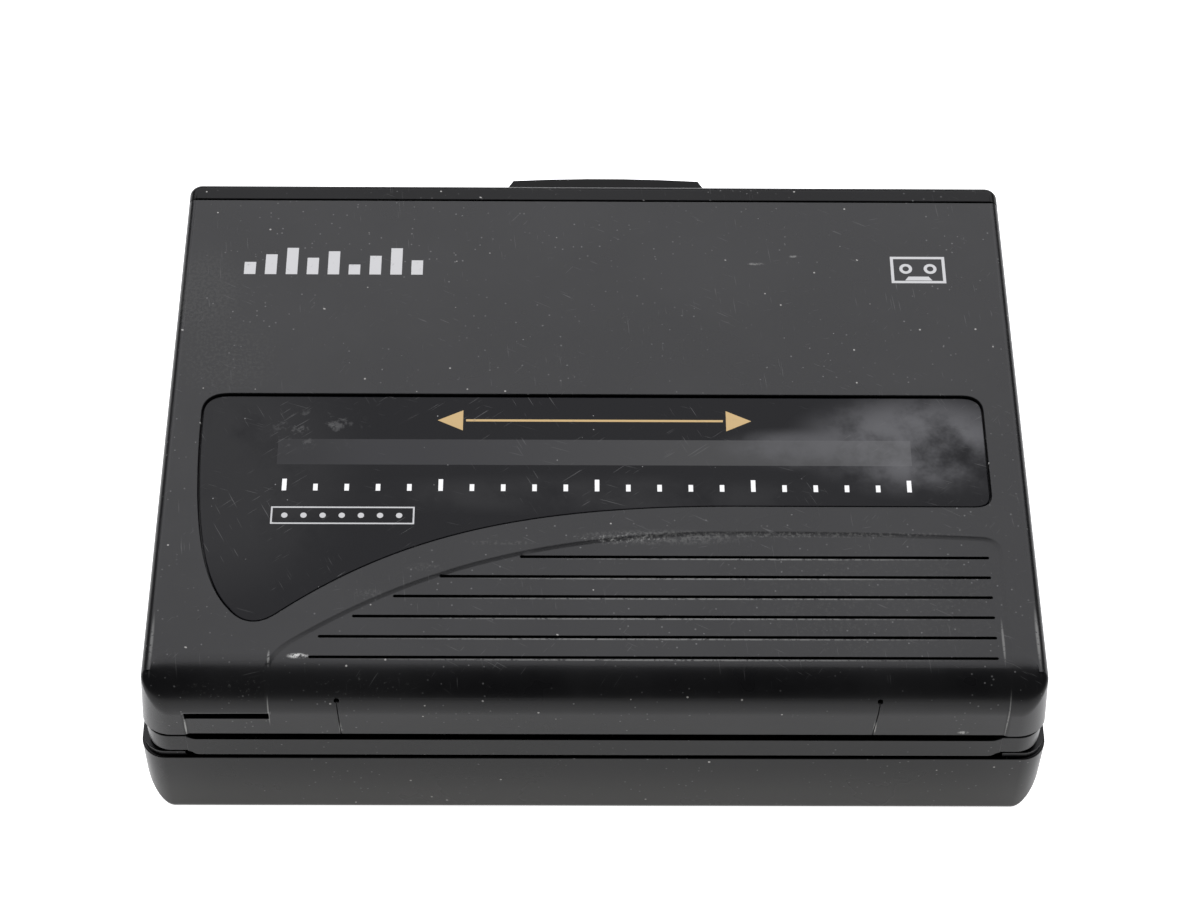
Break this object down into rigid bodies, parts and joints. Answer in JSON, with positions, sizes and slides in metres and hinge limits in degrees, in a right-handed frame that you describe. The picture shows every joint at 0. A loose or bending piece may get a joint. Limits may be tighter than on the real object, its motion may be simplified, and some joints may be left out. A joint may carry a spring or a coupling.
{
  "type": "cassette player",
  "caption": "Pocket auto-reverse cassette player with a hinged windowed door, edge keys, side controls and a rear battery bay.",
  "frame": {"origin": "middle of the flat back that it rests on", "axes": "+X along the long side, to the right of the door seen from above with the controls at the far edge; +Y towards the edge with the keys; +Z out through the cassette door"},
  "size_m": [0.1192, 0.088, 0.03],
  "materials": {
    "shell": "fine satin texture, slightly worn",
    "trim": "satin",
    "lens": "smoked, polished, fine scratches",
    "inner_plastic": "matt black",
    "white_plastic": "smooth",
    "steel": "plated sheet and turned steel",
    "spring_steel": "bright spring steel",
    "brass": "turned",
    "rubber": "ground, matt",
    "board": "green solder mask"
  },
  "bodies": {
    "case": {"rear_case": "shell", "control_panel": "shell", "hinge_pin_right": "steel", "hinge_pin_left": "steel", "hinge_bracket_right": "steel", "hinge_bracket_left": "steel", "latch_spring": "spring_steel", "key_spring": "spring_steel", "volume_control": "inner_plastic", "headphone_jack": "inner_plastic", "power_jack": "inner_plastic", "inner_chassis": "inner_plastic", "chassis_plate": "steel", "main_board": "board", "contact_bridge": "spring_steel", "contact_plus": "spring_steel", "contact_minus": "spring_steel", "motor": "steel", "drive_belt": "rubber", "capstan_bush_left": "brass", "capstan_bush_right": "brass", "case_screw_1": "steel", "case_screw_2": "steel", "case_screw_3": "steel", "case_screw_4": "steel"},
    "door": {"cassette_door": "shell", "door_window": "lens", "door_carrier": "shell", "cassette_holder": "steel", "tape_spring_right": "spring_steel", "tape_spring_left": "spring_steel"},
    "battery_cover": {"battery_cover": "shell"},
    "release_bar": {"release_bar": "trim"},
    "latch": {"latch_plate": "steel"},
    "rewind_key": {"rewind_key": "trim"},
    "forward_key": {"forward_key": "trim"},
    "stop_key": {"stop_key": "trim"},
    "play_key": {"play_key": "trim"},
    "head": {"head_plate": "steel", "tape_head": "steel"},
    "mode_switch": {"reverse_mode_switch": "trim"},
    "bass_switch": {"bass_switch": "trim"},
    "noise_filter_switch": {"noise_filter_switch": "trim"},
    "volume_wheel": {"volume_wheel": "trim"},
    "reel_left": {"reel_left": "white_plastic"},
    "reel_right": {"reel_right": "white_plastic"},
    "flywheel_left": {"flywheel_left": "brass", "capstan_left": "steel"},
    "flywheel_right": {"flywheel_right": "brass", "capstan_right": "steel"},
    "motor_pulley": {"motor_pulley": "brass"},
    "belt_idler": {"belt_idler": "white_plastic"},
    "drive_gear": {"drive_gear": "white_plastic"},
    "pinch_arm_left": {"pinch_arm_left": "steel"},
    "pinch_arm_right": {"pinch_arm_right": "steel"},
    "pinch_roller_left": {"pinch_roller_left": "rubber"},
    "pinch_roller_right": {"pinch_roller_right": "rubber"}
  },
  "joints": [
    {"name": "door_hinge", "type": "hinge", "parent": "case", "child": "door", "pos_m": [0, -0.041, 0.0166], "axis": [1, 0, 0], "range_deg": [0, 72]},
    {"name": "battery_cover_slide", "type": "slide", "parent": "case", "child": "battery_cover", "axis": [-1, 0, 0], "range_m": [0, 0.0545]},
    {"name": "release_press", "type": "slide", "parent": "case", "child": "release_bar", "axis": [0, -1, 0], "range_m": [0, 0.0012], "stiffness_N_per_m": 500},
    {"name": "latch_shift", "type": "slide", "parent": "case", "child": "latch", "axis": [1, 0, 0], "range_m": [0, 0.002], "stiffness_N_per_m": 100, "deforming": ["latch_spring"]},
    {"name": "rewind_press", "type": "slide", "parent": "case", "child": "rewind_key", "axis": [0, -1, 0], "range_m": [0, 0.0016], "stiffness_N_per_m": 250, "deforming": ["key_spring"]},
    {"name": "forward_press", "type": "slide", "parent": "case", "child": "forward_key", "axis": [0, -1, 0], "range_m": [0, 0.0016], "stiffness_N_per_m": 250, "deforming": ["key_spring"]},
    {"name": "stop_press", "type": "slide", "parent": "case", "child": "stop_key", "axis": [0, -1, 0], "range_m": [0, 0.0016], "stiffness_N_per_m": 250, "deforming": ["key_spring"]},
    {"name": "play_press", "type": "slide", "parent": "case", "child": "play_key", "axis": [0, -1, 0], "range_m": [0, 0.0016], "stiffness_N_per_m": 250, "deforming": ["key_spring"]},
    {"name": "head_shift", "type": "slide", "parent": "case", "child": "head", "axis": [0, -1, 0], "range_m": [0, 0.002], "stiffness_N_per_m": 250},
    {"name": "mode_switch_slide", "type": "slide", "parent": "case", "child": "mode_switch", "axis": [1, 0, 0], "range_m": [0, 0.0034]},
    {"name": "bass_switch_slide", "type": "slide", "parent": "case", "child": "bass_switch", "axis": [0, 1, 0], "range_m": [0, 0.003]},
    {"name": "noise_filter_switch_slide", "type": "slide", "parent": "case", "child": "noise_filter_switch", "axis": [0, 1, 0], "range_m": [0, 0.003]},
    {"name": "volume_turn", "type": "hinge", "parent": "case", "child": "volume_wheel", "pos_m": [0.05325, -0.002, 0.0065], "axis": [0, 0, 1], "range_deg": [0, 270]},
    {"name": "reel_left_spin", "type": "hinge", "parent": "case", "child": "reel_left", "pos_m": [-0.02125, -0.0051, 0.016], "axis": [0, 0, 1], "continuous": true},
    {"name": "reel_right_spin", "type": "hinge", "parent": "case", "child": "reel_right", "pos_m": [0.02125, -0.0051, 0.016], "axis": [0, 0, 1], "continuous": true},
    {"name": "flywheel_left_spin", "type": "hinge", "parent": "case", "child": "flywheel_left", "pos_m": [-0.0336, 0.0223, 0.006], "axis": [0, 0, 1], "continuous": true},
    {"name": "flywheel_right_spin", "type": "hinge", "parent": "case", "child": "flywheel_right", "pos_m": [0.0336, 0.0223, 0.006], "axis": [0, 0, 1], "continuous": true},
    {"name": "motor_pulley_spin", "type": "hinge", "parent": "case", "child": "motor_pulley", "pos_m": [0.04, -0.018, 0.005], "axis": [0, 0, 1], "continuous": true},
    {"name": "belt_idler_spin", "type": "hinge", "parent": "case", "child": "belt_idler", "pos_m": [-0.05, 0.006, 0.005], "axis": [0, 0, 1], "continuous": true},
    {"name": "drive_gear_spin", "type": "hinge", "parent": "case", "child": "drive_gear", "pos_m": [-0.02867, 0.01136, 0.009], "axis": [0, 0, 1], "continuous": true},
    {"name": "pinch_arm_left_swing", "type": "hinge", "parent": "case", "child": "pinch_arm_left", "pos_m": [-0.05, 0.031, 0.016], "axis": [0, 0, -1], "range_deg": [0, 22], "stiffness_Nm_per_rad": 0.01},
    {"name": "pinch_arm_right_swing", "type": "hinge", "parent": "case", "child": "pinch_arm_right", "pos_m": [0.05, 0.031, 0.016], "axis": [0, 0, 1], "range_deg": [0, 22], "stiffness_Nm_per_rad": 0.01},
    {"name": "pinch_roller_left_spin", "type": "hinge", "parent": "pinch_arm_left", "child": "pinch_roller_left", "pos_m": [-0.0336, 0.0336, 0.02], "axis": [0, 0, 1], "continuous": true},
    {"name": "pinch_roller_right_spin", "type": "hinge", "parent": "pinch_arm_right", "child": "pinch_roller_right", "pos_m": [0.0336, 0.0336, 0.02], "axis": [0, 0, 1], "continuous": true}
  ],
  "couplings": [
    {"joint": "latch_shift", "follows": "release_press", "ratio": 1.6667},
    {"joint": "play_press", "follows": "head_shift", "ratio": 0.8},
    {"joint": "flywheel_right_spin", "follows": "flywheel_left_spin", "ratio": -1},
    {"joint": "motor_pulley_spin", "follows": "flywheel_left_spin", "ratio": -3.72},
    {"joint": "belt_idler_spin", "follows": "flywheel_left_spin", "ratio": -3.51},
    {"joint": "drive_gear_spin", "follows": "flywheel_left_spin", "ratio": -0.33333}
  ]
}
